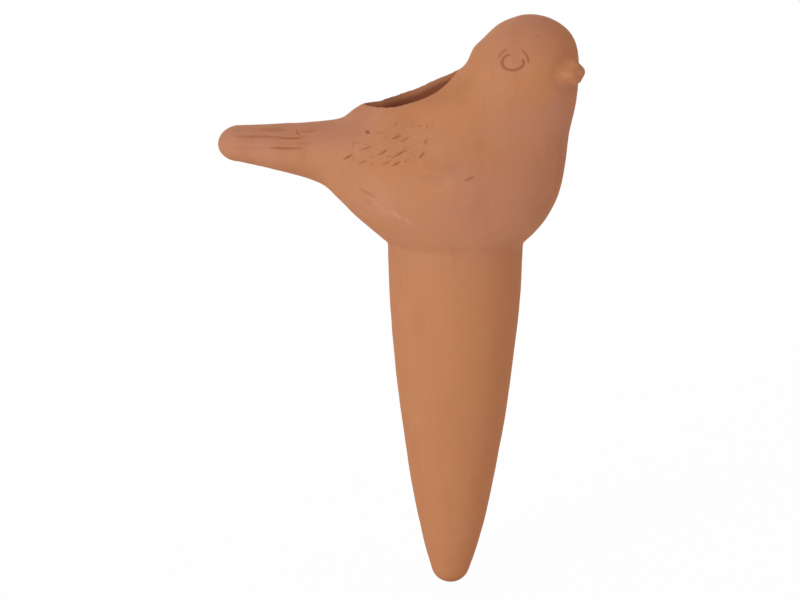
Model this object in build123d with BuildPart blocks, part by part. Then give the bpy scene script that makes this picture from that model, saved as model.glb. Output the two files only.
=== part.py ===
from build123d import *
import os
from math import cos, hypot, radians, sin, tan

# Self watering spike: a hollow terracotta bird on a hollow, porous spike.
# Millimetres. The origin is where the spike's axis meets the soil line, in the crease under the belly.
# +Z is up along the spike, +X runs to the breast, +Y to the bird's left.

# Clay walls and joints
BODY_WALL = 5.0
SPIKE_WALL = 5.5
COLLAR_WALL = 1.8
SLIP_LAYER = 0.6

# Spike and its bore: round tips, and the lean of the sides where the tips begin
SPIKE_TOP_RADIUS = 21.3
SPIKE_LENGTH = 111.2
SPIKE_TIP_RADIUS = 6.0
SPIKE_TIP_WALL = 8.0
SPIKE_TIP_SLOPE = 15.0
BORE_TIP_RADIUS = 3.0

# Side outline of body and head: reach along X, height along Z
BELLY_RISE = 43.0
BELLY_REACH = 33.2
BELLY_HEIGHT = 19.3
BREAST_REACH = 35.3
BREAST_HEIGHT = 36.0
RUMP_RISE = 38.0
RUMP_REACH = 40.0
RUMP_HEIGHT = 22.0
BACK_REACH = 31.0
BACK_HEIGHT = 41.2
HEAD_REACH = 22.8
HEAD_HEIGHT = 56.5
HEAD_FRONT_LENGTH = 15.2
HEAD_REAR_LENGTH = 17.0
HEAD_REAR_SWEEP = 62.0
HEAD_RISE = 16.7
NAPE_SETBACK = 3.6

# Front outline: half-width of flanks and head
FLANK_RISE = 54.0
FLANK_HALF_WIDTH = 29.5
FLANK_HEIGHT = 21.0
HEAD_HALF_WIDTH = 17.2

# Level sections through the bird
BODY_SECTIONS = 16
CROWN_SECTIONS = 4

# Tail, a flat tongue with a straight taper and a flare into the rump
TAIL_REACH = 76.0
TAIL_TIP_RISE = 6.5
TAIL_TIP_HALF_WIDTH = 9.0
TAIL_TIP_HALF_DEPTH = 5.7
TAIL_TIP_ROUND = 6.8
TAIL_ROOT_REACH = 27.0
TAIL_ROOT_RISE = 4.3
TAIL_ROOT_HALF_WIDTH = 13.6
TAIL_ROOT_HALF_DEPTH = 10.7
TAIL_FLARE = 4.6
TAIL_FLARE_POWER = 4
TAIL_SECTIONS = 16
TAIL_TIP_SECTIONS = 4

# Fill opening, a pointed oval on the sagging slope from back to nape, with the land left at its two ends
MOUTH_SAG = 0.9
MOUTH_END_LAND = 2.0
MOUTH_HALF_WIDTH = 14.0
MOUTH_DRAFT = 22.0
MOUTH_CUT = 12.0

# Beak, a pinched four-sided pellet turned to the bird's right
BEAK_TURN = 27.0
BEAK_RISE = 0.5
BEAK_LENGTH = 4.8
BEAK_TIP_HALF_WIDTH = 1.2
BEAK_TIP_HALF_DEPTH = 1.0
BEAK_TIP_ROUND = 0.5
BEAK_ROOT_DEPTH = 6.0
BEAK_ROOT_HALF_WIDTH = 12.5
BEAK_ROOT_HALF_DEPTH = 8.7
BEAK_ROOT_ROUND = 2.4

os.makedirs("parts", exist_ok=True)


def span(outline, height, axis):
    """First and last point along an axis where an upright outline crosses one height."""
    level = Plane.XY.offset(height)
    sides = outline.edges().filter_by(axis, reverse=True)
    crossings = ShapeList(point for side in sides for point in side.intersect(level) or [])
    ordered = crossings.sort_by(axis)
    return ordered[0], ordered[-1]


def oval_face(plane, centre, radii, flank_turn):
    """Oval of two half arcs that meet at the bird's flanks."""
    with BuildSketch(plane) as oval:
        with BuildLine():
            for turn in (flank_turn, flank_turn + 180):
                EllipticalCenterArc(centre, *radii, turn, arc_size=180)
        make_face()
    return oval.sketch


def bird_form(inset):
    """Solid lofted through level ovals that fill the side and front outlines, drawn in by an inset."""
    with BuildSketch(Plane.XZ) as side:
        add(side_outline.sketch_local)
        if inset:
            offset(amount=-inset, mode=Mode.REPLACE)
    with BuildSketch(Plane.YZ) as front:
        add(front_outline.sketch_local)
        if inset:
            offset(amount=-inset, mode=Mode.REPLACE)
    floor = side.sketch.vertices().sort_by(Axis.Z)[0].Z
    step = (HEAD_HEIGHT - floor) / BODY_SECTIONS
    heights = [floor + step * count for count in range(BODY_SECTIONS)]
    crown_turn = radians(90 / (CROWN_SECTIONS + 1))
    for count in range(CROWN_SECTIONS + 1):
        heights.append(HEAD_HEIGHT + (HEAD_RISE - inset) * sin(crown_turn * count))
    ovals = []
    for height in heights:
        rear, fore = span(side.sketch, height, Axis.X)
        right, left = span(front.sketch, height, Axis.Y)
        centre = ((rear.X + fore.X) / 2, 0)
        radii = ((fore.X - rear.X) / 2, (left.Y - right.Y) / 2)
        ovals.append(oval_face(Plane.XY.offset(height), centre, radii, 90))
    with BuildPart() as form:
        loft(ovals + [Vertex(HEAD_REACH, 0, HEAD_HEIGHT + HEAD_RISE - inset)])
    return form.part


# Places that follow from the sizes
nape = Vector(HEAD_REACH - HEAD_REAR_LENGTH - NAPE_SETBACK, HEAD_HEIGHT)
back_top = Vector(-BACK_REACH, BACK_HEIGHT)
mouth_run = nape - back_top
mouth_centre = (nape + back_top) / 2
mouth_out = Vector(-mouth_run.Y, mouth_run.X).normalized()
tail_root_height = RUMP_HEIGHT + TAIL_ROOT_RISE
tail_tip_height = RUMP_HEIGHT + TAIL_TIP_RISE
collar_radius = SPIKE_TOP_RADIUS - SPIKE_WALL + COLLAR_WALL

# Side outline in the mid-plane: breast, crown, nape, back and rump
with BuildSketch(Plane.XZ) as side_outline:
    with BuildLine():
        breast = Spline(
            (SPIKE_TOP_RADIUS, 0),
            (BELLY_REACH, BELLY_HEIGHT),
            (BREAST_REACH, BREAST_HEIGHT),
            (HEAD_REACH + HEAD_FRONT_LENGTH, HEAD_HEIGHT),
            tangents=[(cos(radians(BELLY_RISE)), sin(radians(BELLY_RISE))), (0, 1)],
        )
        EllipticalCenterArc((HEAD_REACH, HEAD_HEIGHT), HEAD_FRONT_LENGTH, HEAD_RISE, 0, arc_size=90)
        crown = EllipticalCenterArc(
            (HEAD_REACH, HEAD_HEIGHT), HEAD_REAR_LENGTH, HEAD_RISE, 90, arc_size=HEAD_REAR_SWEEP
        )
        back = Spline(
            crown @ 1,
            nape,
            mouth_centre - mouth_out * MOUTH_SAG,
            back_top,
            (-RUMP_REACH, RUMP_HEIGHT),
            (-SPIKE_TOP_RADIUS, 0),
            tangents=[crown % 1, (cos(radians(RUMP_RISE)), -sin(radians(RUMP_RISE)))],
        )
        Line(back @ 1, breast @ 0)
    make_face()

# Front outline: the belly swells out of the spike and narrows to the head
with BuildSketch(Plane.YZ) as front_outline:
    with BuildLine():
        flank = Spline(
            (SPIKE_TOP_RADIUS, 0),
            (FLANK_HALF_WIDTH, FLANK_HEIGHT),
            (HEAD_HALF_WIDTH, HEAD_HEIGHT),
            tangents=[(cos(radians(FLANK_RISE)), sin(radians(FLANK_RISE))), (0, 1)],
        )
        EllipticalCenterArc((0, HEAD_HEIGHT), HEAD_HALF_WIDTH, HEAD_RISE, 0, arc_size=90)
        Line((0, HEAD_HEIGHT + HEAD_RISE), (0, 0))
        Line((0, 0), flank @ 0)
    make_face()
    mirror(about=Plane.YZ)

outer_form = bird_form(0)
cavity_form = bird_form(BODY_WALL)
slip_form = bird_form(-SLIP_LAYER)

# Tail: upright ovals from the flare inside the rump to the end of the taper, and on round the tip
tail_straight = TAIL_REACH - TAIL_TIP_ROUND - TAIL_ROOT_REACH
tail_ovals = []
for count in range(TAIL_SECTIONS + 1):
    share = 1 - count / TAIL_SECTIONS
    flare = TAIL_FLARE * share**TAIL_FLARE_POWER
    tail_plane = Plane.YZ.offset(-TAIL_ROOT_REACH - tail_straight * (1 - share))
    tail_centre = (0, tail_tip_height + (tail_root_height - tail_tip_height) * share)
    tail_radii = (
        TAIL_TIP_HALF_WIDTH + (TAIL_ROOT_HALF_WIDTH - TAIL_TIP_HALF_WIDTH) * share + flare,
        TAIL_TIP_HALF_DEPTH + (TAIL_ROOT_HALF_DEPTH - TAIL_TIP_HALF_DEPTH) * share + flare,
    )
    tail_ovals.append(oval_face(tail_plane, tail_centre, tail_radii, 0))
tip_ovals = tail_ovals[-1:]
for count in range(1, TAIL_TIP_SECTIONS):
    tip_turn = radians(90 * count / TAIL_TIP_SECTIONS)
    tip_plane = Plane.YZ.offset(TAIL_TIP_ROUND * (1 - sin(tip_turn)) - TAIL_REACH)
    tip_radii = (TAIL_TIP_HALF_WIDTH * cos(tip_turn), TAIL_TIP_HALF_DEPTH * cos(tip_turn))
    tip_ovals.append(oval_face(tip_plane, (0, tail_tip_height), tip_radii, 0))

# Fill opening: a plug that widens outwards, square to the slope of the back
mouth_plane = Plane(
    (mouth_centre.X, 0, mouth_centre.Y),
    x_dir=(mouth_run.X, 0, mouth_run.Y),
    z_dir=(mouth_out.X, 0, mouth_out.Y),
)
mouth_half_length = mouth_run.length / 2 - MOUTH_END_LAND
mouth_spread = MOUTH_CUT * tan(radians(MOUTH_DRAFT))
with BuildPart() as mouth:
    for way in (-1, 1):
        reach = mouth_half_length + way * mouth_spread
        bulge = MOUTH_HALF_WIDTH + way * mouth_spread
        with BuildSketch(mouth_plane.offset(way * MOUTH_CUT)):
            with BuildLine():
                ThreePointArc((-reach, 0), (0, bulge), (reach, 0))
                ThreePointArc((reach, 0), (0, -bulge), (-reach, 0))
            make_face()
    loft()

# Hollow bird: body and tail, less the cavity, the fill opening and the socket for the spike's collar
with BuildPart() as bird:
    add(outer_form)
    loft(tail_ovals)
    loft(tip_ovals + [Vertex(-TAIL_REACH, 0, tail_tip_height)])
    add(cavity_form, mode=Mode.SUBTRACT)
    add(mouth.part, mode=Mode.SUBTRACT)
    with BuildSketch():
        Circle(collar_radius + SLIP_LAYER)
    extrude(amount=BODY_WALL, mode=Mode.SUBTRACT)

# Halves of the bird, parted in the mid-plane
seam_right = Plane.XZ.offset(SLIP_LAYER / 2)
seam_left = Plane.XZ.offset(-SLIP_LAYER / 2)
with BuildPart() as right_body_half:
    add(bird.part)
    split(bisect_by=seam_right, keep=Keep.TOP)
right_body_half.part.label = "right_body_half"
export_step(right_body_half.part, "parts/right_body_half.step")

with BuildPart() as left_body_half:
    add(bird.part)
    split(bisect_by=seam_left, keep=Keep.BOTTOM)
left_body_half.part.label = "left_body_half"
export_step(left_body_half.part, "parts/left_body_half.step")

# Slip between the halves: one run from belly over the breast to the nape, one from belly to tail and back
bird_size = bird.part.bounding_box().size
with BuildPart() as seam_slip:
    add(bird.part)
    Box(2 * bird_size.X, SLIP_LAYER, 2 * bird_size.Z, mode=Mode.INTERSECT)
seam_runs = seam_slip.solids().sort_by(Axis.X)
with BuildPart() as front_seam_slip:
    add(seam_runs[-1])
front_seam_slip.part.label = "front_seam_slip"
export_step(front_seam_slip.part, "parts/front_seam_slip.step")

with BuildPart() as rear_seam_slip:
    add(seam_runs[0])
rear_seam_slip.part.label = "rear_seam_slip"
export_step(rear_seam_slip.part, "parts/rear_seam_slip.step")


def spike_side(top_radius, tip_radius, depth):
    """Round tip at a depth, and the gently swelling side from it up to the joint."""
    tip = CenterArc((0, tip_radius - depth), tip_radius, -90, arc_size=90 - SPIKE_TIP_SLOPE)
    side = TangentArc(tip @ 1, (top_radius, -SLIP_LAYER), tangent=tip % 1)
    return tip @ 0, side @ 1


# Spike: half section with a closed tip, a bore and a collar for the socket
with BuildPart() as spike:
    with BuildSketch(Plane.XZ):
        with BuildLine():
            outer_tip, outer_top = spike_side(SPIKE_TOP_RADIUS, SPIKE_TIP_RADIUS, SPIKE_LENGTH)
            bore_tip, bore_top = spike_side(
                SPIKE_TOP_RADIUS - SPIKE_WALL, BORE_TIP_RADIUS, SPIKE_LENGTH - SPIKE_TIP_WALL
            )
            Polyline(
                outer_top,
                (collar_radius, outer_top.Y),
                (collar_radius, BODY_WALL),
                (bore_top.X, BODY_WALL),
                bore_top,
            )
            Line(bore_tip, outer_tip)
        make_face()
    revolve(axis=Axis.Z)
spike.part.label = "spike"
export_step(spike.part, "parts/spike.step")

# Slip ring in the joint: between shoulder and belly, and between collar and socket
with BuildPart() as spike_joint_slip:
    with BuildSketch(Plane.XZ):
        with BuildLine():
            Polyline(
                (collar_radius, -SLIP_LAYER),
                (SPIKE_TOP_RADIUS, -SLIP_LAYER),
                (SPIKE_TOP_RADIUS, 0),
                (collar_radius + SLIP_LAYER, 0),
                (collar_radius + SLIP_LAYER, BODY_WALL),
                (collar_radius, BODY_WALL),
                close=True,
            )
        make_face()
    revolve(axis=Axis.Z)
spike_joint_slip.part.label = "spike_joint_slip"
export_step(spike_joint_slip.part, "parts/spike_joint_slip.step")

# Pellet for the beak, rooted inside the head before it is cut to the round of the face
beak_turn = radians(BEAK_TURN)
face_reach = 1 / hypot(cos(beak_turn) / HEAD_FRONT_LENGTH, sin(beak_turn) / HEAD_HALF_WIDTH)
root_reach = face_reach - BEAK_ROOT_DEPTH
beak_plane = Plane(
    (HEAD_REACH + root_reach * cos(beak_turn), -root_reach * sin(beak_turn), HEAD_HEIGHT + BEAK_RISE),
    x_dir=(sin(beak_turn), cos(beak_turn), 0),
    z_dir=(cos(beak_turn), -sin(beak_turn), 0),
)
beak_ends = [
    (0, BEAK_ROOT_HALF_WIDTH, BEAK_ROOT_HALF_DEPTH, BEAK_ROOT_ROUND),
    (BEAK_ROOT_DEPTH + BEAK_LENGTH, BEAK_TIP_HALF_WIDTH, BEAK_TIP_HALF_DEPTH, BEAK_TIP_ROUND),
]
with BuildPart() as pellet:
    for rise, half_width, half_depth, corner in beak_ends:
        with BuildSketch(beak_plane.offset(rise)) as diamond:
            Polygon((half_width, 0), (0, half_depth), (-half_width, 0), (0, -half_depth))
            fillet(diamond.vertices(), corner)
    loft(ruled=True)

# Beak and its slip pad, both shaped to the face
with BuildPart() as beak:
    add(pellet.part)
    add(slip_form, mode=Mode.SUBTRACT)
beak.part.label = "beak"
export_step(beak.part, "parts/beak.step")

with BuildPart() as beak_slip:
    add(pellet.part)
    add(slip_form, mode=Mode.INTERSECT)
    add(outer_form, mode=Mode.SUBTRACT)
beak_slip.part.label = "beak_slip"
export_step(beak_slip.part, "parts/beak_slip.step")
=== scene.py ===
from math import cos, radians, sin, sqrt

import bmesh
import bpy
import numpy as np
from mathutils import Matrix, Vector
from mathutils.kdtree import KDTree


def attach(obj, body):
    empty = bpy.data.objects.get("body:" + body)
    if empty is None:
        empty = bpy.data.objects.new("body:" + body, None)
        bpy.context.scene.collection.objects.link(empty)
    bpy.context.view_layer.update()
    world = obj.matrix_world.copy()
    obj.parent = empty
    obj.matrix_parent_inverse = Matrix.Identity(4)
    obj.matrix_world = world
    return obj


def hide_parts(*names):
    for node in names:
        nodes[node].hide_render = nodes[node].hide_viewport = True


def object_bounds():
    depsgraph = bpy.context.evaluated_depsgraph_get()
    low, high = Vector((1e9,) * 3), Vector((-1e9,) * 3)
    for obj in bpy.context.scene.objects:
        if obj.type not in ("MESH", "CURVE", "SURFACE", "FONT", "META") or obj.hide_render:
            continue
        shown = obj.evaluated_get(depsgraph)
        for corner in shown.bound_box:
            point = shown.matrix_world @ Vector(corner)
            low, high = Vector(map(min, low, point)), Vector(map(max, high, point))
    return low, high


# Terracotta bird on a hollow watering spike. The clay pieces are luted and wiped smooth, so they are dressed as
# one skin, carved by hand, and then parted again along the pieces' joints. Lengths are in millimetres here and
# turned to metres when a mesh is written.

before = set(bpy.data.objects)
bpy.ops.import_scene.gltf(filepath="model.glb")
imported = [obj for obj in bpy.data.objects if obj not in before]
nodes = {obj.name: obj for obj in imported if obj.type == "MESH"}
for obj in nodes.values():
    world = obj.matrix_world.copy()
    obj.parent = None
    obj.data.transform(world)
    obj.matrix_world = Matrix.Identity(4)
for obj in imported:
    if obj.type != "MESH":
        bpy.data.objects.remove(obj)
cad_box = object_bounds()
MM = 0.001

# The photograph's view: bearing, height, roll, distance, size of a pixel at the object, the picture's width in
# pixels, the camera's sensor and far end in its own units, and where the soil line's centre lies in the picture
VIEW_TURN, VIEW_RISE, VIEW_ROLL = radians(8), radians(13), radians(0.75)
VIEW_DISTANCE = 2000.0
PIXEL = 0.315
PICTURE_WIDTH, SENSOR_WIDTH, VIEW_END = 800, 36, 50
ORIGIN_RIGHT, ORIGIN_UP = 55.5 * PIXEL, 59.0 * PIXEL

# The bird's head: centre, half-sizes, and the share of them that is taken for its hollow
HEAD = np.array([22.8, 0.0, 56.5])
HEAD_SIZE = np.array([15.2, 17.2, 16.7])
HEAD_HOLLOW = 0.85

# The beak: bearing from +X, half-sizes and rise of its root, and what the fingers add, pare and press in
BEAK_TURN = radians(-27)
BEAK_ROOT, BEAK_RISE = (6.6, 4.9), 0.5
BEAK_FULL, BEAK_BLUNT, BEAK_CREASE = 0.50, 0.90, 0.20

# Where the beak's piece ends: the face's reach and roundness, how far the beak stands off it, and its girth
FACE_REACH, FACE_ROUND, BEAK_STAND, BEAK_GIRTH = 15.7, 16.9, 0.35, 9

# The belly's middle, and the joints that the thumb wipes over: place, spread and rounds of wiping
BELLY_CENTRE = np.array([0.0, 0.0, 15.0])
SPIKE_JOINT = -0.3
SPIKE_WIPED, SPIKE_SPREAD, SPIKE_ROUNDS = -0.5, 2.2, 12
TAIL_JOINT, TAIL_SPREAD, TAIL_ROUNDS = -37.5, 8.0, 110
BEAK_ROUNDS = 4

# Fill opening: its two ends on the mid-plane, how the rim rises between them, the pinch and the far side's lift
MOUTH_REAR = np.array([-28.8, 0.0, 42.0])
MOUTH_FRONT = np.array([0.5, 0.0, 55.5])
RIM_REACH = [-29.5, -23.7, -18.8, -13.6, -8.4, -4.1, -1.2, 0.4]
RIM_HEIGHT = [42.4, 43.4, 44.4, 45.9, 47.9, 50.3, 53.0, 54.9]
LIP_PINCH, LIP_LIFT = 0.45, 1.5

# Clay laid on or pared off by hand: centre, spread, thickness and the way the skin faces there
HAND_FORMS = {
    "lip": ((-32.3, 0.0, 40.0), (3.6, 7.5, 5.5), 1.4, (-0.50, 0.0, 0.87)),
    "nape": ((6.0, 0.0, 61.3), (7.0, 8.0, 3.6), 1.4, (-0.90, 0.0, 0.44)),
    "brow": ((34.5, 1.5, 66.5), (6.0, 9.0, 6.0), 0.7, (0.80, 0.0, 0.60)),
    "tail_corner": ((-43.0, 0.0, 18.5), (4.5, 8.0, 5.0), 0.4, (-0.50, 0.0, -0.87)),
    "rump": ((-35.0, 0.0, 12.5), (4.5, 10.0, 5.0), -1.0, (-0.71, 0.0, -0.71)),
}
SPIKE_SWELL = 0.5

# Lumps of the whole skin: height, wavelength and seed
LUMPS = [(0.20, 26, 3), (0.07, 8, 5), (0.025, 3, 7)]

# Screen colours of the clay, 0 to 255, which turns from orange to pink between two heights in metres, and of
# the painted shade in its recesses and hollow
CLAY = {
    "orange": (190, 127, 87),
    "pink": (187, 128, 100),
    "bloom": (199, 141, 109),
    "wiped": (177, 113, 76),
    "specks": (166, 104, 72),
    "grit": (212, 164, 134),
    "scuff": (209, 152, 120),
    # Painted shade laid into the carved grooves, darker the deeper they are
    "recess_shade": (140, 79, 50),
    # Painted shade laid on the inner faces and on the fill opening's cut wall
    "hollow": (122, 57, 32),
}
PINK_FROM, PINK_TO = -0.025, 0.035

# Dry bloom, darker wiping, specks and pale grit over the ground colour: scale, detail, roughness and stretch
# of a noise, the band of it where the colour sets in, and its strength there
CLAY_LAYERS = {
    "bloom": ((60, 4, 0.62), (0.52, 0.74), 0.35),
    "wiped": ((90, 3, 0.6, (1, 1, 0.22)), (0.50, 0.72), 0.38),
    "specks": ((1500, 2, 0.6), (0.60, 0.72), 0.22),
    "grit": ((3200, 1, 0.5), (0.66, 0.74), 0.25),
}
# Strengths of the pale scuffs, of the painted shade in the recesses and of the painted shade in the hollow
SCUFF_STRENGTH, RECESS_SHADE_STRENGTH, HOLLOW_SHADE_STRENGTH = 0.55, 0.56, 0.85

# The clay's roughness and sheen, and its pores' strength and height in metres
ROUGH_FROM, ROUGH_TO, SHEEN = 0.82, 0.97, 0.22
PORE_STRENGTH, PORE_HEIGHT = 0.30, 0.00020

# Studio, in metres: the floor's white share as the camera sees it, drop, grey and half-width; light around and
# overhead; the lamps' place, size, power and colour
FLOOR_GLOW, FLOOR_DROP, FLOOR_GREY, FLOOR_REACH = 0.97, 0.0005, 0.93, 6
LIGHT_LEVEL, LIGHT_OVERHEAD, LIGHT_COLOUR = 0.71, 0.58, (1.0, 0.90, 0.83)
LAMPS = {
    "key": ((-0.59, -1.16, 0.30), 0.8, 8.3, (0.80, 0.93, 1.0)),
    "back": ((-0.50, 1.15, 0.45), 0.9, 5.0, (0.90, 0.96, 1.0)),
}

# Voxels of the clay skin, the shift that keeps flat faces off their grid and the distances at which points are
# welded or snapped to a cut, these three in metres, and how far the skin stays inside the CAD's box
VOXEL = 0.63
NUDGE = Vector((0.000137, 0.000211, 0.000173))
WELD, CUT_SNAP = 0.000002, 0.00002
BOX_CLEAR = 0.02

# How the rim's edges are told from others: least height, least bend, clear of the seam; and the step along them
RIM_FLOOR, RIM_ANGLE, SEAM_CLEAR, RIM_STEP = 37.0, radians(38), 0.35, 0.12

# Faces are cut finer within these distances of the rim, and of the carving in a first and a second round
RIM_FINE, CARVING_FINE, CARVING_FINEST = 1.5, 0.9, 0.1


def view_axes():
    back = np.array([sin(VIEW_TURN) * cos(VIEW_RISE), -cos(VIEW_TURN) * cos(VIEW_RISE), sin(VIEW_RISE)])
    level = np.array([cos(VIEW_TURN), sin(VIEW_TURN), 0.0])
    rise = np.cross(back, level)
    right = level * cos(VIEW_ROLL) + rise * sin(VIEW_ROLL)
    up = rise * cos(VIEW_ROLL) - level * sin(VIEW_ROLL)
    return right, up, back


RIGHT, UP, BACK = view_axes()


def seen(points):
    """Places in the picture plane, right of and above the soil line's centre."""
    grow = VIEW_DISTANCE / (VIEW_DISTANCE - points @ BACK)
    aside = (points @ RIGHT + ORIGIN_RIGHT) * grow - ORIGIN_RIGHT
    above = (points @ UP + ORIGIN_UP) * grow - ORIGIN_UP
    return np.stack([aside, above], axis=1)


def smoothstep(low, high, value):
    t = np.clip((value - low) / (high - low), 0, 1)
    return t * t * (3 - 2 * t)


# Mesh helpers


def read_points(mesh):
    flat = np.empty(len(mesh.vertices) * 3, np.float64)
    mesh.vertices.foreach_get("co", flat)
    return flat.reshape(-1, 3) / MM


def write_points(mesh, points):
    mesh.vertices.foreach_set("co", (points * MM).ravel())
    mesh.update()


def read_normals(mesh):
    flat = np.empty(len(mesh.vertices) * 3, np.float32)
    mesh.vertex_normals.foreach_get("vector", flat)
    return flat.reshape(-1, 3).astype(np.float64)


def read_edges(mesh):
    flat = np.empty(len(mesh.edges) * 2, np.int32)
    mesh.edges.foreach_get("vertices", flat)
    return flat.reshape(-1, 2)


def relax(points, edges, weight, rounds, keep_volume=True):
    """Laplacian smoothing by a weight per point; every second round swells again so that nothing shrinks."""
    count = len(points)
    weight = np.where(weight > 0.001, weight, 0)
    edges = edges[(weight[edges] > 0).any(1)]
    start, end = edges[:, 0], edges[:, 1]
    degree = np.maximum(np.bincount(edges.ravel(), minlength=count), 1)
    points = points.copy()
    for step in range(rounds * (2 if keep_volume else 1)):
        pull = -0.52 if keep_volume and step % 2 else 0.5
        mean = np.empty_like(points)
        for axis in range(3):
            total = np.bincount(start, points[end, axis], count) + np.bincount(end, points[start, axis], count)
            mean[:, axis] = total / degree
        points += (mean - points) * (pull * weight)[:, None]
    return points


def waves(points, length, seed, count=28):
    """Smooth seeded unevenness of about that wavelength, from -1 to 1."""
    rng = np.random.default_rng(seed)
    ways = rng.normal(size=(count, 3))
    ways /= np.linalg.norm(ways, axis=1)[:, None]
    ways *= (2 * np.pi / (length * rng.uniform(0.7, 1.6, count)))[:, None]
    total = np.sin(points @ ways.T + rng.uniform(0, 2 * np.pi, count)).sum(1)
    return np.clip(total / sqrt(count), -2, 2) / 2


# One skin of clay over the pieces


def clay_skin():
    joined = bmesh.new()
    for node in nodes.values():
        joined.from_mesh(node.data)
    bmesh.ops.translate(joined, verts=joined.verts, vec=NUDGE)
    mesh = bpy.data.meshes.new("clay")
    joined.to_mesh(mesh)
    joined.free()
    blank = bpy.data.objects.new("clay", mesh)
    bpy.context.scene.collection.objects.link(blank)
    voxels = blank.modifiers.new("voxels", "REMESH")
    voxels.mode = "VOXEL"
    voxels.voxel_size = VOXEL * MM
    skin = bpy.data.meshes.new_from_object(blank.evaluated_get(bpy.context.evaluated_depsgraph_get()))
    bpy.data.objects.remove(blank)
    skin.transform(Matrix.Translation(-NUDGE))
    return skin


def keep_main_shell(mesh):
    """Drops specks and bubbles that aren't part of the one skin."""
    work = bmesh.new()
    work.from_mesh(mesh)
    work.verts.ensure_lookup_table()
    todo = set(work.verts)
    shells = []
    while todo:
        front = [todo.pop()]
        shell = list(front)
        while front:
            for edge in front.pop().link_edges:
                for vert in edge.verts:
                    if vert in todo:
                        todo.discard(vert)
                        shell.append(vert)
                        front.append(vert)
        shells.append(shell)
    shells.sort(key=len)
    for shell in shells[:-1]:
        bmesh.ops.delete(work, geom=shell, context="VERTS")
    work.to_mesh(mesh)
    work.free()


def refine(mesh, chosen):
    """Cuts each chosen face in four. chosen takes the faces' centres and normals and says which."""
    work = bmesh.new()
    work.from_mesh(mesh)
    work.normal_update()
    centres = np.array([face.calc_center_median() for face in work.faces]) / MM
    picked = chosen(centres, np.array([face.normal for face in work.faces]))
    edges = {edge for face, pick in zip(work.faces, picked) if pick for edge in face.edges}
    bmesh.ops.subdivide_edges(work, edges=list(edges), cuts=1, use_grid_fill=True)
    work.to_mesh(mesh)
    work.free()


def cut_along(mesh, place, normal):
    """Puts an edge loop where a plane crosses, so that the pieces part cleanly there."""
    work = bmesh.new()
    work.from_mesh(mesh)
    geometry = list(work.verts) + list(work.edges) + list(work.faces)
    bmesh.ops.bisect_plane(work, geom=geometry, dist=CUT_SNAP, plane_co=place, plane_no=normal)
    work.to_mesh(mesh)
    work.free()


# Hand carving: strokes in the picture plane of the near side, each a run of points, half-width and depth

FEATHERS = [
    ([(-19.3, 36.3), (-18.2, 37.3)], 0.26, 0.26),
    ([(-14.0, 36.3), (-13.4, 36.5)], 0.30, 0.14),
    ([(-11.8, 36.1), (-10.2, 36.4)], 0.28, 0.24),
    ([(-9.1, 35.3), (-8.7, 37.4)], 0.24, 0.20),
    ([(-7.8, 37.8), (-6.1, 37.6)], 0.26, 0.13),
    ([(-7.6, 36.2), (-6.6, 35.8)], 0.26, 0.12),
    ([(-25.6, 34.1), (-22.8, 34.3)], 0.30, 0.14),
    ([(-22.4, 32.6), (-21.5, 32.9)], 0.28, 0.18),
    ([(-19.8, 32.3), (-17.3, 33.5)], 0.30, 0.38),
    ([(-17.0, 31.5), (-14.5, 32.9)], 0.28, 0.32),
    ([(-9.6, 30.7), (-9.0, 31.9)], 0.28, 0.32),
    ([(-32.4, 29.2), (-32.2, 31.2), (-30.4, 30.9)], 0.26, 0.22),
    ([(-29.7, 28.9), (-26.3, 29.9)], 0.28, 0.32),
    ([(-24.3, 27.2), (-21.4, 28.9)], 0.32, 0.42),
    ([(-20.0, 26.3), (-15.2, 28.8)], 0.28, 0.38),
    ([(-11.4, 26.3), (-9.8, 28.0)], 0.28, 0.42),
    ([(-35.1, 25.8), (-32.5, 27.3)], 0.30, 0.46),
    ([(-30.8, 24.3), (-28.3, 25.4)], 0.30, 0.32),
    ([(-26.8, 24.2), (-26.0, 24.4)], 0.32, 0.20),
    ([(-22.9, 24.1), (-20.5, 25.5)], 0.28, 0.32),
    ([(-20.0, 23.8), (-17.3, 25.3)], 0.30, 0.40),
    ([(-15.8, 24.8), (-15.4, 25.6)], 0.26, 0.20),
    ([(-23.5, 34.0), (-22.5, 34.7)], 0.28, 0.16),
    ([(-21.7, 26.6), (-19.9, 27.3)], 0.28, 0.18),
    ([(-32.9, 26.1), (-31.8, 25.3)], 0.28, 0.16),
    ([(-27.3, 26.6), (-25.9, 26.9)], 0.28, 0.16),
    ([(-15.4, 25.5), (-14.0, 26.2)], 0.28, 0.18),
    ([(-27.9, 34.2), (-27.6, 34.7)], 0.65, 0.90),
    ([(-30.4, 16.6), (-25.4, 13.8)], 0.55, 0.20),
    ([(-29.6, 13.5), (-26.5, 11.2)], 0.70, 0.12),
    ([(3.2, 19.0), (6.0, 20.3)], 0.45, 0.34),
    ([(-10.6, 20.0), (-5.2, 20.0)], 1.10, 0.10),
]
TAIL_GROOVES = [
    ([(-69.1, 33.3), (-60.3, 33.1), (-52.4, 32.6)], 0.55, 0.26),
    ([(-56.4, 32.7), (-49.6, 32.4), (-47.4, 33.3)], 0.45, 0.36),
    ([(-61.4, 35.2), (-53.4, 35.1)], 0.60, 0.28),
    ([(-48.6, 34.3), (-43.9, 35.0)], 0.50, 0.22),
    ([(-49.9, 35.0), (-49.0, 33.4)], 0.40, 0.26),
    ([(-72.6, 29.2), (-58.4, 29.3)], 0.80, 0.12),
    ([(-58.6, 29.5), (-48.6, 29.2)], 0.45, 0.40),
    ([(-55.2, 30.7), (-44.9, 30.9)], 0.60, 0.12),
]
HEAD_MARKS = [
    ([(25.7, 64.5), (25.7, 64.9)], 0.36, 0.36),
    ([(27.6, 69.3), (29.5, 69.2)], 0.40, 0.10),
]
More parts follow.
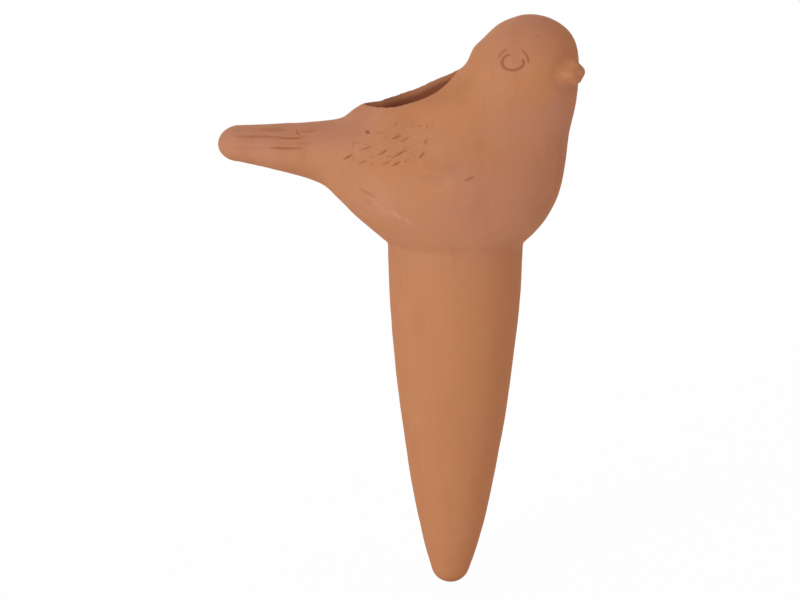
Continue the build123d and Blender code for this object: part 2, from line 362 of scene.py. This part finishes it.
WING_EDGE = [(-10.9, 26.5), (-10.2, 24.2), (-7.6, 22.0), (-3.2, 20.6), (2.4, 19.9)]
WING_HOLLOW = [(-3.5, 22.6), (-1.2, 25.6), (3.6, 27.0)]
WORKED_PATCH = (-38.0, -5.0, 21.0, 39.0)
SCUFF, SCUFF_WIDTH = [(-26.0, 12.4), (-20.5, 9.2), (-12.0, 4.0)], 1.1

# Height of the burr beside a stroke as a share of its depth, and the depth at which the painted shade in a
# recess is darkest
BURR, FULL_SHADE_DEPTH = 0.30, 0.40

# The eye in the picture plane: centre, the ring's and the lids' half-sizes, half-width and depth of their
# grooves, the lids' shift, the ball's rise, and how far the finer faces reach
EYE = np.array([18.1, 56.4])
EYE_RING, EYE_GROOVE = (3.50, 2.60), (0.42, 0.44)
LID_RING, LID_GROOVE, LID_SHIFT = (5.00, 4.60), (0.38, 0.34), 0.1
BALL_RISE = 0.14
EYE_PATCH = 6.4

# Soft forms of the wing: height and half-width of its edge, depth and half-width of its hollow, depth and
# wavelength of the finger marks; and how far the carving hand wanders, over which length
EDGE_FORM, HOLLOW_FORM, PRESSED = (0.26, 1.7), (0.20, 2.4), (0.14, 1.9)
WANDER, WANDER_LENGTH = 0.16, 5


def to_run(places, run):
    """Distance from each place to a run of points, and the share of the run's length at the nearest point."""
    run = np.array(run)
    lengths = np.linalg.norm(np.diff(run, axis=0), axis=1)
    best, along, done = np.full(len(places), np.inf), np.zeros(len(places)), 0.0
    for a, b, length in zip(run[:-1], run[1:], lengths):
        part = np.clip(((places - a) @ (b - a)) / length**2, 0, 1)
        gap = np.linalg.norm(places - (a + part[:, None] * (b - a)), axis=1)
        closer = gap < best
        best[closer] = gap[closer]
        along[closer] = ((done + part * length) / lengths.sum())[closer]
        done += length
    return best, along


def stroke_depth(places, strokes):
    """Depth of the strokes at each place: thin at both ends, with a low burr pushed up along each side."""
    depth = np.zeros(len(places))
    for run, half_width, deep in strokes:
        gap, along = to_run(places, run)
        near = gap < half_width * 4
        swell = np.sin(np.pi * (0.14 + 0.70 * along[near]))
        width = half_width * (0.50 + 0.52 * swell)
        groove = deep * swell * np.exp(-((gap[near] / width) ** 2))
        burr = BURR * deep * swell * np.exp(-(((gap[near] - 2.0 * width) / (0.8 * width)) ** 2))
        depth[near] = np.maximum(depth[near], groove) - burr
    return depth


def ring_depth(places, centre, axes, groove, strength):
    """Depth of an oval ring, stronger or weaker around its turn."""
    half_width, deep = groove
    across = (places - centre) / np.array(axes)
    radius = np.linalg.norm(across, axis=1)
    turn = np.degrees(np.arctan2(across[:, 1], across[:, 0])) % 360
    gap = (radius - 1) * (axes[0] + axes[1]) / 2
    return deep * np.exp(-((gap / half_width) ** 2)) * strength(turn)


def ring_strength(turn):
    """Open from the upper right to the top."""
    return 1 - smoothstep(14, 34, turn) * (1 - smoothstep(98, 122, turn))


def lid_strength(turn):
    """An arc on the upper left and one on the right."""
    left = smoothstep(108, 126, turn) * (1 - smoothstep(150, 172, turn))
    return left + (1 - smoothstep(44, 64, turn)) + 0.8 * smoothstep(350, 359, turn)


def eye_depth(places):
    """The eye's ring, an arc of lid on either side above it, and a slightly raised ball."""
    ring = ring_depth(places, EYE, EYE_RING, EYE_GROOVE, ring_strength)
    lid = ring_depth(places, EYE + LID_SHIFT, LID_RING, LID_GROOVE, lid_strength)
    across = np.linalg.norm((places - EYE) / np.array(EYE_RING), axis=1)
    ball = -BALL_RISE * np.exp(-((across / 0.62) ** 4))
    return np.maximum(ring, lid) + ball


def near_side(normals):
    """How far the skin faces the picture."""
    return smoothstep(0.18, 0.48, normals @ BACK)


def both_flanks(points, normals):
    """The points and normals as they are, and mirrored to the other flank."""
    mirror = np.array([1.0, -1.0, 1.0])
    return [(points, normals), (points * mirror, normals * mirror)]


def both_cheeks(points, normals):
    """The points and normals as they are, and mirrored across the upright plane through head and beak."""
    across = np.array([-sin(BEAK_TURN), cos(BEAK_TURN), 0.0])
    mirrored = points - 2 * ((points - HEAD) @ across)[:, None] * across
    return [(points, normals), (mirrored, normals - 2 * (normals @ across)[:, None] * across)]


def on_flank(points):
    """The near flank of the body, and all of the tail."""
    return (points[:, 1] < -9) | (points[:, 0] < -40)


def on_head(points):
    """Clear of the head's hollow."""
    return np.linalg.norm((points - HEAD) / HEAD_SIZE, axis=1) > HEAD_HOLLOW


def unsteady(points):
    """The carving hand's wander, in the picture plane."""
    return WANDER * np.stack([waves(points, WANDER_LENGTH, seed) for seed in (11, 12)], axis=1)


def worked(places):
    """1 where the hand has been at the wing, and fading out around it."""
    left, right, low, high = WORKED_PATCH
    across = smoothstep(left, left + 6, places[:, 0]) * (1 - smoothstep(right - 6, right, places[:, 0]))
    return across * smoothstep(low, low + 4, places[:, 1]) * (1 - smoothstep(high - 4, high, places[:, 1]))


def wing_form(places, points):
    """The wing's raised edge, the hollow behind it and the finger marks around the strokes."""
    gap, along = to_run(places, WING_EDGE)
    height, half_width = EDGE_FORM
    ridge = height * np.exp(-((gap / half_width) ** 2)) * np.sin(np.pi * (0.1 + 0.8 * along))
    gap, along = to_run(places, WING_HOLLOW)
    height, half_width = HOLLOW_FORM
    hollow = height * np.exp(-((gap / half_width) ** 2)) * np.sin(np.pi * (0.15 + 0.7 * along))
    height, length = PRESSED
    return ridge - hollow + height * worked(places) * waves(points, length, 21)


def carve(points, normals):
    """Depth of the carved marks to take off each point, and the soft forms of wing and beak to add to it."""
    depth, form = np.zeros(len(points)), np.zeros(len(points))
    wander = unsteady(points)
    for spots, facing in both_flanks(points, normals):
        places = seen(spots) + wander
        weight = near_side(facing) * (spots[:, 1] < -0.4)
        chosen = np.nonzero((weight > 0) & on_flank(spots) & (places[:, 0] < 8) & (places[:, 1] > 8))[0]
        depth[chosen] += weight[chosen] * stroke_depth(places[chosen], FEATHERS + TAIL_GROOVES)
        form[chosen] += weight[chosen] * wing_form(places[chosen], points[chosen])
    for cheek, (spots, facing) in enumerate(both_cheeks(points, normals)):
        places = seen(spots) + wander
        weight = near_side(facing)
        outer = (weight > 0) & on_head(spots)
        chosen = np.nonzero(outer & (np.linalg.norm(places - EYE, axis=1) < 9))[0]
        depth[chosen] += weight[chosen] * eye_depth(places[chosen])
        if cheek == 0:
            marked = np.nonzero(outer & (places[:, 1] > 60))[0]
            depth[marked] += weight[marked] * stroke_depth(places[marked], HEAD_MARKS)
    return depth, form + beak_form(points)


def near_carving(centres, normals, reach):
    """Outer faces within that reach of a stroke on either flank, and those around both eyes."""
    picked = np.zeros(len(centres), bool)
    for spots, facing in both_flanks(centres, normals):
        flank = np.nonzero((near_side(facing) > 0) & on_flank(spots))[0]
        places = seen(spots[flank])
        gaps = [to_run(places, run)[0] - 2 * width for run, width, _ in FEATHERS + TAIL_GROOVES]
        picked[flank[np.min(gaps, axis=0) < reach]] = True
    for spots, facing in both_cheeks(centres, normals):
        outer = (near_side(facing) > 0) & on_head(spots)
        picked |= outer & (np.linalg.norm(seen(spots) - EYE, axis=1) < EYE_PATCH)
    return picked


def mouth_rim():
    """Points along the sharp edges of the fill opening, read from the halves."""
    rim = []
    for name in ("right_body_half", "left_body_half"):
        work = bmesh.new()
        work.from_mesh(nodes[name].data)
        bmesh.ops.remove_doubles(work, verts=work.verts, dist=WELD)
        for edge in work.edges:
            middle = (edge.verts[0].co + edge.verts[1].co) / 2 / MM
            if middle.z < RIM_FLOOR or abs(middle.y) < SEAM_CLEAR or len(edge.link_faces) != 2:
                continue
            if edge.calc_face_angle() > RIM_ANGLE:
                steps = np.linspace(0, 1, max(2, int(edge.calc_length() / MM / RIM_STEP) + 2))
                rim += [edge.verts[0].co.lerp(edge.verts[1].co, step) / MM for step in steps]
        work.free()
    tree = KDTree(len(rim))
    for index, point in enumerate(rim):
        tree.insert(point, index)
    tree.balance()
    return tree


def rim_gaps(points, rim):
    """Distance of each point to the fill opening's rim."""
    gaps = np.full(len(points), np.inf)
    around = np.nonzero((points[:, 2] > RIM_FLOOR - 3) & (points[:, 0] < 8))[0]
    for index in around:
        gaps[index] = rim.find(points[index])[2]
    return gaps


def draw_to_rim(points, rim):
    """Draws the points beside the fill opening's sharp edges onto them, so that the rim runs evenly."""
    points = points.copy()
    for index in np.nonzero(rim_gaps(points, rim) < 1.1 * VOXEL)[0]:
        place, _, gap = rim.find(points[index])
        points[index] += (np.array(place) - points[index]) * (1 - smoothstep(0.5 * VOXEL, 1.1 * VOXEL, gap))
    return points


def far_lift(points):
    """How far the rim stands higher on the far side of the fill opening."""
    return LIP_LIFT * smoothstep(1, 7, points[:, 1]) * np.exp(-(((points[:, 0] + 6.5) / 6.5) ** 2))


def shape_lip(points, gaps):
    """Pinches the fill opening's rear end narrower and lifts the rim of its far side."""
    x, y, z = points.T.copy()
    rear = smoothstep(34, 38, z) * (1 - smoothstep(-27, -16, x)) * smoothstep(-36, -32, x)
    points[:, 1] = y * (1 - LIP_PINCH * rear * (1 - smoothstep(7, 15, np.abs(y))))
    points[:, 2] = z + far_lift(points) * (1 - smoothstep(1.5, 8, gaps))
    return points


def hand_formed(points, normals):
    """Thickness of clay that the hand laid on or pared off."""
    total = SPIKE_SWELL * (1 - smoothstep(-100, -30, points[:, 2])) * smoothstep(-111, -97, points[:, 2])
    total *= smoothstep(0.3, 0.8, np.sum(normals[:, :2] * points[:, :2], axis=1) / np.hypot(*points[:, :2].T))
    for centre, spread, thickness, facing in HAND_FORMS.values():
        near = np.exp(-np.sum(((points - np.array(centre)) / np.array(spread)) ** 2, axis=1))
        total += thickness * near * smoothstep(0.2, 0.6, normals @ np.array(facing))
    return total


def smooth_joints(points, edges, rim):
    """Wipes the voxels' steps away and thumbs the joints over."""
    points = draw_to_rim(relax(points, edges, np.ones(len(points)), 2), rim)
    gaps = rim_gaps(points, rim)
    points = relax(points, edges, 0.3 + 0.7 * smoothstep(0.2, 1.5, gaps), 4)
    points = shape_lip(points, gaps)
    clear = smoothstep(0.5, 3.0, gaps)
    tail_joint = np.exp(-(((points[:, 0] - TAIL_JOINT) / TAIL_SPREAD) ** 2))
    tail_joint *= 1 - smoothstep(-29, -25, points[:, 0])
    points = relax(points, edges, tail_joint * clear, TAIL_ROUNDS, keep_volume=False)
    reach = np.hypot(points[:, 0], points[:, 1])
    spike_joint = np.exp(-(((points[:, 2] - SPIKE_WIPED) / SPIKE_SPREAD) ** 2)) * (reach > 18.5)
    points = relax(points, edges, spike_joint, SPIKE_ROUNDS, keep_volume=False)
    forward, aside = from_beak(points)
    beak_joint = smoothstep(11.5, 13.0, forward) * (1 - smoothstep(15.2, 16.4, forward))
    beak_joint *= 1 - smoothstep(8, 11, aside)
    return relax(points, edges, beak_joint, BEAK_ROUNDS, keep_volume=False)


def from_beak(points):
    """Distance from the head's centre along the beak, and aside from its axis."""
    way = np.array([cos(BEAK_TURN), sin(BEAK_TURN), 0.0])
    forward = (points - HEAD) @ way
    return forward, np.linalg.norm(points - HEAD - forward[:, None] * way, axis=1)


def beak_form(points):
    """Fuller flanks of the beak, its blunted tip and the crease that the fingers leave around its root."""
    forward, _ = from_beak(points)
    sideways = (points - HEAD) @ np.array([-sin(BEAK_TURN), cos(BEAK_TURN), 0.0])
    above = points[:, 2] - HEAD[2]
    around = np.hypot(sideways / BEAK_ROOT[0], (above - BEAK_RISE) / BEAK_ROOT[1])
    inside = 1 - smoothstep(0.75, 1.0, around)
    full = BEAK_FULL * smoothstep(15.2, 16.6, forward) * (1 - smoothstep(18.4, 19.6, forward))
    full *= inside * (1.5 - smoothstep(-2.5, 2.5, above))
    blunt = BEAK_BLUNT * smoothstep(17.8, 19.0, forward) * inside
    crease = BEAK_CREASE * np.exp(-(((around - 1.12) / 0.20) ** 2)) * (forward > 8)
    return full - blunt - crease


def deep_in_mouth(points):
    """0 at the fill opening's rim and 1 well below it."""
    rim = np.interp(points[:, 0], RIM_REACH, RIM_HEIGHT) + far_lift(points)
    return smoothstep(0.9, 2.5, rim - points[:, 2])


def mouth_wall_shade(points, normals):
    """Painted shade on the cut wall of the fill opening, which looks towards the line between its two ends: 0.3
    at the rim and 1 well below it.
    """
    way = MOUTH_FRONT - MOUTH_REAR
    share = np.clip((points - MOUTH_REAR) @ way / (way @ way), 0, 1)
    inward = MOUTH_REAR + share[:, None] * way - points
    inward /= np.maximum(np.linalg.norm(inward, axis=1), 1e-6)[:, None]
    wall = smoothstep(0.25, 0.60, np.sum(inward * normals, axis=1))
    wall *= smoothstep(-31, -29, points[:, 0]) * (1 - smoothstep(0, 2, points[:, 0])) * (points[:, 2] > 33)
    return wall * (0.30 + 0.70 * deep_in_mouth(points))


def inner_shade(points, normals):
    """Painted shade, 1 on the inner faces: they look towards the spike's axis or the line from the belly to the
    head.
    """
    share = np.clip((points[:, 2] - BELLY_CENTRE[2]) / (HEAD[2] - BELLY_CENTRE[2]), 0, 1)
    middle = BELLY_CENTRE + share[:, None] * (HEAD - BELLY_CENTRE)
    middle[:, 2] = points[:, 2]
    outward = points - middle
    outward /= np.maximum(np.linalg.norm(outward, axis=1), 1e-6)[:, None]
    inner = smoothstep(0.1, 0.5, -np.sum(outward * normals, axis=1))
    return inner * np.where(points[:, 0] < RIM_REACH[-1], deep_in_mouth(points), 1)


def cut_finer(skin, rim):
    """Parts the skin's faces at the joints, and makes them finer at the rim and the carving."""

    def first(centres, normals):
        return near_carving(centres, normals, CARVING_FINE) | (rim_gaps(centres, rim) < RIM_FINE)

    def second(centres, normals):
        return near_carving(centres, normals, CARVING_FINEST)

    cut_along(skin, (0, 0, 0), (0, 1, 0))
    cut_along(skin, (0, 0, SPIKE_JOINT * MM), (0, 0, 1))
    refine(skin, first)
    refine(skin, second)


def dress_skin():
    """The whole clay skin, with the painted shade of its carved recesses and of its hollow, and its pale
    scuffs, as values per point.
    """
    skin = clay_skin()
    keep_main_shell(skin)
    rim = mouth_rim()
    points = smooth_joints(read_points(skin), read_edges(skin), rim)
    write_points(skin, points)
    normals = read_normals(skin)
    write_points(skin, points + normals * hand_formed(points, normals)[:, None])
    cut_finer(skin, rim)
    points, edges = read_points(skin), read_edges(skin)
    everywhere = np.ones(len(points))
    points = relax(points, edges, everywhere, 3)
    write_points(skin, points)
    normals = read_normals(skin)
    lumps = sum(height * waves(points, length, seed) for height, length, seed in LUMPS)
    depth, form = carve(points, normals)
    low, high = np.array(cad_box[0]) / MM + BOX_CLEAR, np.array(cad_box[1]) / MM - BOX_CLEAR
    write_points(skin, np.clip(points + normals * (lumps + form - depth)[:, None], low, high))
    gap, along = to_run(seen(points), SCUFF)
    scuff = np.exp(-((gap / SCUFF_WIDTH) ** 2)) * np.sin(np.pi * along) * near_side(normals)
    # Painted shade inside the hollow and on the fill opening's cut wall, softened across the skin
    hollow = np.maximum(inner_shade(points, normals), mouth_wall_shade(points, normals))
    hollow = relax(hollow[:, None].repeat(3, 1), edges, everywhere, 4, keep_volume=False)[:, 0]
    return skin, {"recess_shade": np.clip(depth / FULL_SHADE_DEPTH, 0, 1), "hollow": hollow, "scuff": scuff}


# Terracotta


def link(tree, source, target):
    tree.links.new(source, target)


def noise_node(tree, coords, scale, detail=3.0, rough=0.55, stretch=None):
    node = tree.nodes.new("ShaderNodeTexNoise")
    node.inputs["Scale"].default_value = scale
    node.inputs["Detail"].default_value = detail
    node.inputs["Roughness"].default_value = rough
    if stretch:
        mapping = tree.nodes.new("ShaderNodeMapping")
        mapping.inputs["Scale"].default_value = stretch
        link(tree, coords, mapping.inputs["Vector"])
        coords = mapping.outputs["Vector"]
    link(tree, coords, node.inputs["Vector"])
    return node.outputs["Fac"]


def ramp_node(tree, value, low, high, invert=False):
    node = tree.nodes.new("ShaderNodeMapRange")
    node.interpolation_type = "SMOOTHSTEP"
    node.inputs["From Min"].default_value = low
    node.inputs["From Max"].default_value = high
    node.inputs["To Min"].default_value = 1.0 if invert else 0.0
    node.inputs["To Max"].default_value = 0.0 if invert else 1.0
    link(tree, value, node.inputs["Value"])
    return node.outputs["Result"]


def times(tree, value, factor):
    node = tree.nodes.new("ShaderNodeMath")
    node.operation = "MULTIPLY"
    link(tree, value, node.inputs[0])
    if isinstance(factor, (int, float)):
        node.inputs[1].default_value = factor
    else:
        link(tree, factor, node.inputs[1])
    return node.outputs[0]


def plus(tree, a, b):
    node = tree.nodes.new("ShaderNodeMath")
    node.operation = "ADD"
    link(tree, a, node.inputs[0])
    link(tree, b, node.inputs[1])
    return node.outputs[0]


def blend_colour(tree, share, below, above):
    node = tree.nodes.new("ShaderNodeMix")
    node.data_type = "RGBA"
    link(tree, share, node.inputs["Factor"])
    for socket, colour in ((node.inputs["A"], below), (node.inputs["B"], above)):
        if isinstance(colour, tuple):
            socket.default_value = (*colour, 1.0)
        else:
            link(tree, colour, socket)
    return node.outputs["Result"]


def linear(red, green, blue):
    """Screen colour, 0 to 255, as linear light."""
    return tuple(((v / 255 + 0.055) / 1.055) ** 2.4 for v in (red, green, blue))


def value_of(tree, name):
    node = tree.nodes.new("ShaderNodeAttribute")
    node.attribute_name = name
    return node.outputs["Fac"]


def clay_colour(tree, coords):
    """Brown-orange clay that drifts to pink, with its layers, its scuffs, and painted shade in the recesses and
    the hollow.
    """
    axes = tree.nodes.new("ShaderNodeSeparateXYZ")
    link(tree, coords, axes.inputs[0])
    drift = ramp_node(tree, noise_node(tree, coords, 26, 2), 0.34, 0.62)
    drift = times(tree, drift, ramp_node(tree, axes.outputs["Z"], PINK_FROM, PINK_TO))
    broken = ramp_node(tree, noise_node(tree, coords, 420, 3, 0.6), 0.42, 0.62)
    colour = blend_colour(tree, drift, linear(*CLAY["orange"]), linear(*CLAY["pink"]))
    shares = {}
    for name, (noise, band, strength) in CLAY_LAYERS.items():
        shares[name] = times(tree, ramp_node(tree, noise_node(tree, coords, *noise), *band), strength)
    shares["scuff"] = times(tree, times(tree, value_of(tree, "scuff"), broken), SCUFF_STRENGTH)
    # Painted shade in the carved grooves, darker the deeper they are
    shares["recess_shade"] = times(tree, value_of(tree, "recess_shade"), RECESS_SHADE_STRENGTH)
    # Painted shade on the inner faces and the fill opening's cut wall
    shares["hollow"] = times(tree, value_of(tree, "hollow"), HOLLOW_SHADE_STRENGTH)
    for name, share in shares.items():
        colour = blend_colour(tree, share, colour, linear(*CLAY[name]))
    return colour


def open_pores(tree, coords):
    """Normals of open pores and fine sand."""
    grain = noise_node(tree, coords, 1500, 2, 0.6)
    pores = ramp_node(tree, noise_node(tree, coords, 900, 3, 0.6), 0.28, 0.40)
    height = plus(tree, times(tree, grain, 0.5), times(tree, pores, 0.6))
    height = plus(tree, height, times(tree, noise_node(tree, coords, 320, 3), 0.9))
    bump = tree.nodes.new("ShaderNodeBump")
    bump.inputs["Strength"].default_value = PORE_STRENGTH
    bump.inputs["Distance"].default_value = PORE_HEIGHT
    link(tree, height, bump.inputs["Height"])
    return bump.outputs["Normal"]


def terracotta():
    material = bpy.data.materials.new("terracotta")
    material.use_nodes = True
    tree = material.node_tree
    shader = tree.nodes["Principled BSDF"]
    coords = tree.nodes.new("ShaderNodeTexCoord").outputs["Object"]
    rough = tree.nodes.new("ShaderNodeMapRange")
    rough.inputs["To Min"].default_value = ROUGH_FROM
    rough.inputs["To Max"].default_value = ROUGH_TO
    link(tree, noise_node(tree, coords, 240, 4), rough.inputs["Value"])
    link(tree, clay_colour(tree, coords), shader.inputs["Base Color"])
    link(tree, rough.outputs["Result"], shader.inputs["Roughness"])
    shader.inputs["Specular IOR Level"].default_value = SHEEN
    link(tree, open_pores(tree, coords), shader.inputs["Normal"])
    return material


# Pieces parted from the skin


def read_faces(mesh):
    """Each face's corners."""
    corners = np.empty(len(mesh.loops), np.int32)
    starts, totals = np.empty((2, len(mesh.polygons)), np.int32)
    mesh.loops.foreach_get("vertex_index", corners)
    mesh.polygons.foreach_get("loop_start", starts)
    mesh.polygons.foreach_get("loop_total", totals)
    return [corners[start : start + total] for start, total in zip(starts, totals)]


def read_centres(mesh):
    flat = np.empty(len(mesh.polygons) * 3, np.float32)
    mesh.polygons.foreach_get("center", flat)
    return flat.reshape(-1, 3) / MM


def piece_mesh(name, faces, points, normals, values):
    """A mesh of some of the skin's faces, which keeps the skin's normals and values."""
    used, inverse = np.unique(np.concatenate(faces), return_inverse=True)
    offsets = np.cumsum([0] + [len(face) for face in faces])
    corners = [inverse[start:end].tolist() for start, end in zip(offsets[:-1], offsets[1:])]
    mesh = bpy.data.meshes.new(name)
    mesh.from_pydata([tuple(p) for p in points[used] * MM], [], corners)
    mesh.polygons.foreach_set("use_smooth", np.ones(len(faces), bool))
    for key, value in values.items():
        layer = mesh.attributes.new(key, "FLOAT", "POINT")
        layer.data.foreach_set("value", value[used].astype(np.float32))
    mesh.normals_split_custom_set_from_vertices([tuple(n) for n in normals[used]])
    return mesh


def part_skin(skin, values, material):
    """Parts the skin along the joints into pieces that stand for the CAD's nodes."""
    centres, faces = read_centres(skin), read_faces(skin)
    points, normals = read_points(skin), read_normals(skin)
    forward, aside = from_beak(centres)
    turn = np.clip(1 - (aside / FACE_ROUND) ** 2, 0.05, 1)
    beak = (forward > FACE_REACH * np.sqrt(turn) + BEAK_STAND) & (aside < BEAK_GIRTH)
    spike = centres[:, 2] < SPIKE_JOINT
    right = ~beak & ~spike & (centres[:, 1] < 0)
    left = ~beak & ~spike & ~right
    groups = [
        ("spike", spike, ["spike", "spike_joint_slip"]),
        ("right_body_half", right, ["right_body_half", "rear_seam_slip"]),
        ("left_body_half", left, ["left_body_half", "front_seam_slip"]),
        ("beak", beak, ["beak", "beak_slip"]),
    ]
    for name, chosen, replaced in groups:
        mesh = piece_mesh(name + "_clay", [faces[i] for i in np.nonzero(chosen)[0]], points, normals, values)
        mesh.materials.append(material)
        piece = bpy.data.objects.new(name + "_clay", mesh)
        bpy.context.scene.collection.objects.link(piece)
        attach(piece, "root")
        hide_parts(*replaced)


part_skin(*dress_skin(), terracotta())


# Studio: a white floor that keeps a faint shadow, even light from around and a soft key from the left


def seen_plainly(tree):
    """1 for rays from the camera, and for mirrored and refracted ones, so that all see the white ground."""
    paths = tree.nodes.new("ShaderNodeLightPath")
    share = paths.outputs["Is Camera Ray"]
    for name in ("Is Glossy Ray", "Is Transmission Ray"):
        share = plus(tree, share, paths.outputs[name])
    return share


def white_floor():
    material = bpy.data.materials.new("white_floor")
    material.use_nodes = True
    tree = material.node_tree
    shader = tree.nodes["Principled BSDF"]
    shader.inputs["Base Color"].default_value = (FLOOR_GREY, FLOOR_GREY, FLOOR_GREY, 1)
    shader.inputs["Roughness"].default_value = 0.95
    shader.inputs["Specular IOR Level"].default_value = 0.0
    glow = tree.nodes.new("ShaderNodeEmission")
    mix = tree.nodes.new("ShaderNodeMixShader")
    link(tree, times(tree, seen_plainly(tree), FLOOR_GLOW), mix.inputs[0])
    link(tree, shader.outputs[0], mix.inputs[1])
    link(tree, glow.outputs[0], mix.inputs[2])
    link(tree, mix.outputs[0], tree.nodes["Material Output"].inputs["Surface"])
    mesh = bpy.data.meshes.new("floor")
    level = cad_box[0][2] - FLOOR_DROP
    corners = [(x * FLOOR_REACH, y * FLOOR_REACH, level) for x, y in ((-1, -1), (1, -1), (1, 1), (-1, 1))]
    mesh.from_pydata(corners, [], [(0, 1, 2, 3)])
    mesh.materials.append(material)
    floor = bpy.data.objects.new("floor", mesh)
    bpy.context.scene.collection.objects.link(floor)


def even_light():
    """Light from all around that is dimmer overhead, and plain white to the camera."""
    world = bpy.data.worlds.new("studio")
    bpy.context.scene.world = world
    world.use_nodes = True
    tree = world.node_tree
    around = tree.nodes["Background"]
    axes = tree.nodes.new("ShaderNodeSeparateXYZ")
    link(tree, tree.nodes.new("ShaderNodeTexCoord").outputs["Generated"], axes.inputs[0])
    level = tree.nodes.new("ShaderNodeMapRange")
    level.inputs["To Min"].default_value = LIGHT_LEVEL
    level.inputs["To Max"].default_value = LIGHT_OVERHEAD
    link(tree, axes.outputs["Z"], level.inputs["Value"])
    link(tree, level.outputs["Result"], around.inputs["Strength"])
    around.inputs["Color"].default_value = (*LIGHT_COLOUR, 1)
    plain = tree.nodes.new("ShaderNodeBackground")
    plain.inputs["Color"].default_value = (1, 1, 1, 1)
    mix = tree.nodes.new("ShaderNodeMixShader")
    link(tree, seen_plainly(tree), mix.inputs[0])
    link(tree, around.outputs[0], mix.inputs[1])
    link(tree, plain.outputs[0], mix.inputs[2])
    link(tree, mix.outputs[0], tree.nodes["World Output"].inputs["Surface"])


def lamps():
    for name, (place, size, power, colour) in LAMPS.items():
        lamp = bpy.data.lights.new(name, "AREA")
        lamp.shape = "DISK"
        lamp.size = size
        lamp.energy = power
        lamp.color = colour
        holder = bpy.data.objects.new(name, lamp)
        holder.location = place
        holder.rotation_euler = (-Vector(place)).to_track_quat("-Z", "Y").to_euler()
        bpy.context.scene.collection.objects.link(holder)


def camera():
    lens = bpy.data.cameras.new("camera")
    lens.sensor_width = SENSOR_WIDTH
    lens.lens = SENSOR_WIDTH * VIEW_DISTANCE / (PICTURE_WIDTH * PIXEL)
    lens.clip_end = VIEW_END
    holder = bpy.data.objects.new("camera", lens)
    place = (BACK * VIEW_DISTANCE - RIGHT * ORIGIN_RIGHT - UP * ORIGIN_UP) * MM
    turn = Matrix((RIGHT, UP, BACK)).transposed().to_4x4()
    holder.matrix_world = Matrix.Translation(Vector(place)) @ turn
    bpy.context.scene.collection.objects.link(holder)
    bpy.context.scene.camera = holder


white_floor()
even_light()
lamps()
camera()
bpy.context.scene.view_settings.view_transform = "Standard"
